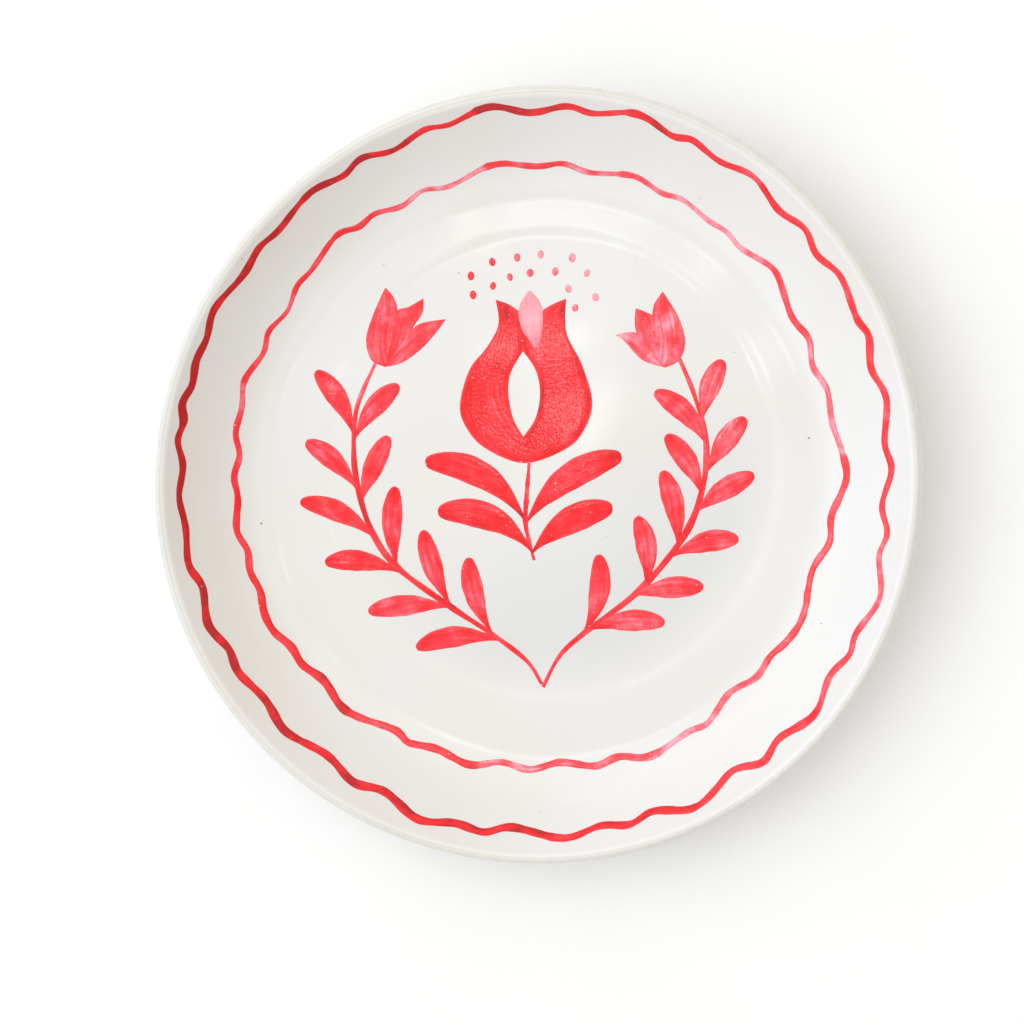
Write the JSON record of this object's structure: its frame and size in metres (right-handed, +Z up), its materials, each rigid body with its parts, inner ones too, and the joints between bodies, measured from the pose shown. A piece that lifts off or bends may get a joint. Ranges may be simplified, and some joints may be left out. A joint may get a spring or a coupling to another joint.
{
  "type": "hand painted dinner plate",
  "caption": "Round low dish of glazed clay with an upturned wall and a foot ring, hand painted in red with wavy border lines, a pomegranate and leafy tulip vines.",
  "frame": {"origin": "centre of the plane that the foot ring stands on", "axes": "+Z up out of the dish, +Y towards the crown of the painted pomegranate, +X to the right of the painting"},
  "size_m": [0.24, 0.24, 0.026],
  "materials": {
    "fired_clay": "matt, unglazed, fine grained",
    "clear_glaze": "glossy off-white with sparse dark specks",
    "red_underglaze": "glossy translucent red with brush streaks",
    "pale_red_underglaze": "glossy thin wash of red"
  },
  "bodies": {
    "root": {"clay_body": "fired_clay", "foot_ring": "fired_clay", "face_glaze": "clear_glaze", "back_glaze": "clear_glaze", "foot_well_glaze": "clear_glaze", "outer_wave_line": "red_underglaze", "inner_wave_line": "red_underglaze", "pomegranate": "red_underglaze", "pomegranate_crown_petal": "pale_red_underglaze", "pomegranate_stem": "red_underglaze", "pomegranate_leaf_upper_left": "red_underglaze", "pomegranate_leaf_upper_right": "red_underglaze", "pomegranate_leaf_lower_left": "red_underglaze", "pomegranate_leaf_lower_right": "red_underglaze", "seed_dots": "red_underglaze", "left_vine_stem": "red_underglaze", "right_vine_stem": "red_underglaze", "left_tulip": "red_underglaze", "right_tulip": "red_underglaze", "left_vine_outer_leaf_1": "red_underglaze", "left_vine_outer_leaf_2": "red_underglaze", "left_vine_outer_leaf_3": "red_underglaze", "left_vine_outer_leaf_4": "red_underglaze", "left_vine_outer_leaf_5": "red_underglaze", "left_vine_outer_leaf_6": "red_underglaze", "left_vine_inner_leaf_1": "red_underglaze", "left_vine_inner_leaf_2": "red_underglaze", "left_vine_inner_leaf_3": "red_underglaze", "left_vine_inner_leaf_4": "red_underglaze", "left_vine_inner_leaf_5": "red_underglaze", "right_vine_outer_leaf_1": "red_underglaze", "right_vine_outer_leaf_2": "red_underglaze", "right_vine_outer_leaf_3": "red_underglaze", "right_vine_outer_leaf_4": "red_underglaze", "right_vine_outer_leaf_5": "red_underglaze", "right_vine_outer_leaf_6": "red_underglaze", "right_vine_inner_leaf_1": "red_underglaze", "right_vine_inner_leaf_2": "red_underglaze", "right_vine_inner_leaf_3": "red_underglaze", "right_vine_inner_leaf_4": "red_underglaze", "right_vine_inner_leaf_5": "red_underglaze"}
  },
  "joints": []
}
